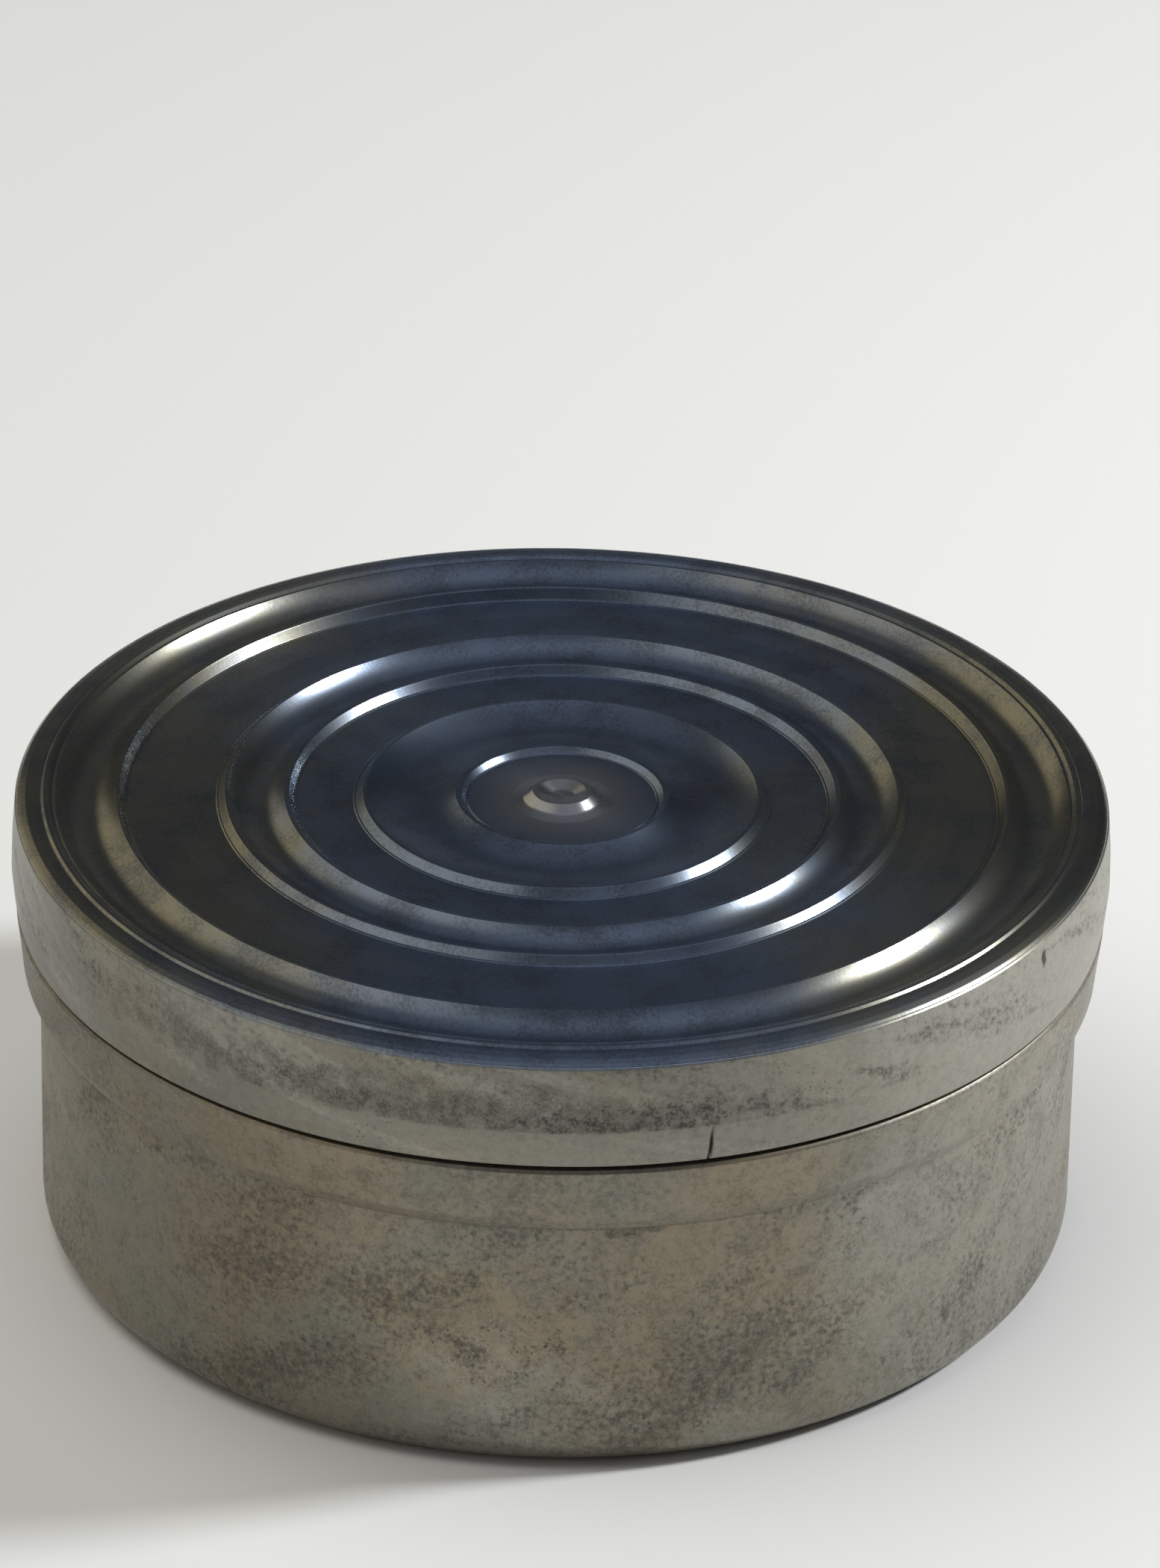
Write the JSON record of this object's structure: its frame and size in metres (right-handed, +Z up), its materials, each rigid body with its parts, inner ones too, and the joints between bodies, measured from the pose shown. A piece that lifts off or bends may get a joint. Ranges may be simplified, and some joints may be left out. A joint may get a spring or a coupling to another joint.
{
  "type": "shoe polish tin",
  "caption": "Round shallow metal tin with a ring-pressed slip lid that lifts off a beaded base cup holding a cake of shoe polish.",
  "frame": {"origin": "on the floor, at the centre of the base's underside", "axes": "+Z up along the tin's axis, the way the lid lifts; X and Y across the tin"},
  "size_m": [0.08, 0.08, 0.0345],
  "materials": {
    "lid_tinplate": "tarnished bare tinplate, glossy on the rings, smudged on the skirt",
    "base_tinplate": "dull tarnished tinplate, lightly pitted",
    "polish": "soft black wax, satin"
  },
  "bodies": {
    "base": {"base_cup": "base_tinplate", "polish_cake": "polish"},
    "lid": {"lid": "lid_tinplate"}
  },
  "joints": [
    {"name": "lid_lift", "type": "slide", "parent": "base", "child": "lid", "axis": [0, 0, 1], "range_m": [0, 0.045]}
  ]
}
